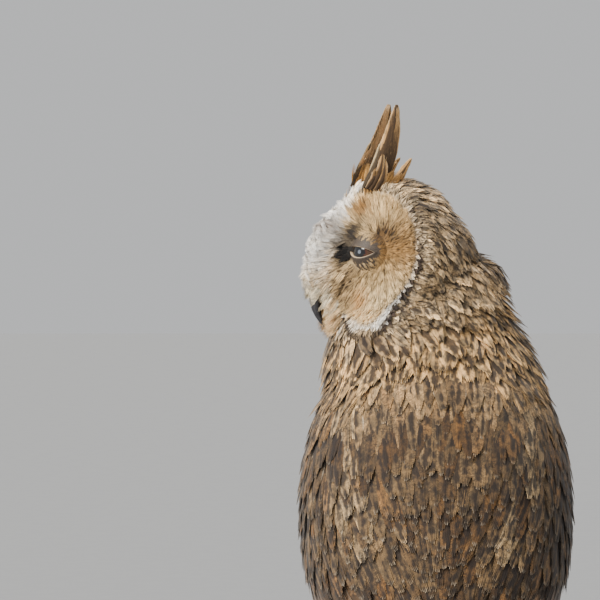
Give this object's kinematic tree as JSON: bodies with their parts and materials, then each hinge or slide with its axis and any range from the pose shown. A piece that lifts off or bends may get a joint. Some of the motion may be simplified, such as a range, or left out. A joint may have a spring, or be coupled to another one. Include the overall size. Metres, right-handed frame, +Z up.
{
  "type": "long eared owl",
  "caption": "Long-eared owl standing upright with folded wings and raised ear tufts, looking back over its left shoulder, as a still life-size museum model.",
  "frame": {"origin": "centre of the model's footprint box, on the ground", "axes": "+Z up, the breast faces -Y, the owl's own left is +X"},
  "size_m": [0.141, 0.1826, 0.3503],
  "materials": {
    "plumage": "soft matte body feathers",
    "wing": "matte barred flight feathers",
    "face": "fine matte facial feathers",
    "tuft": "matte dark feathers with pale edges",
    "leg": "short dense buff feathers",
    "horn": "satin dark horn",
    "eye": "wet and clear"
  },
  "bodies": {
    "root": {"head": "face", "neck": "plumage", "torso": "plumage", "tail": "wing", "bill_upper": "horn", "bill_lower": "horn", "wing_left": "wing", "ear_tuft_left": "tuft", "eye_left": "eye", "leg_left": "leg", "foot_left": "leg", "claw_left_inner": "horn", "claw_left_middle": "horn", "claw_left_outer": "horn", "claw_left_rear": "horn", "wing_right": "wing", "ear_tuft_right": "tuft", "eye_right": "eye", "leg_right": "leg", "foot_right": "leg", "claw_right_inner": "horn", "claw_right_middle": "horn", "claw_right_outer": "horn", "claw_right_rear": "horn"}
  },
  "joints": []
}
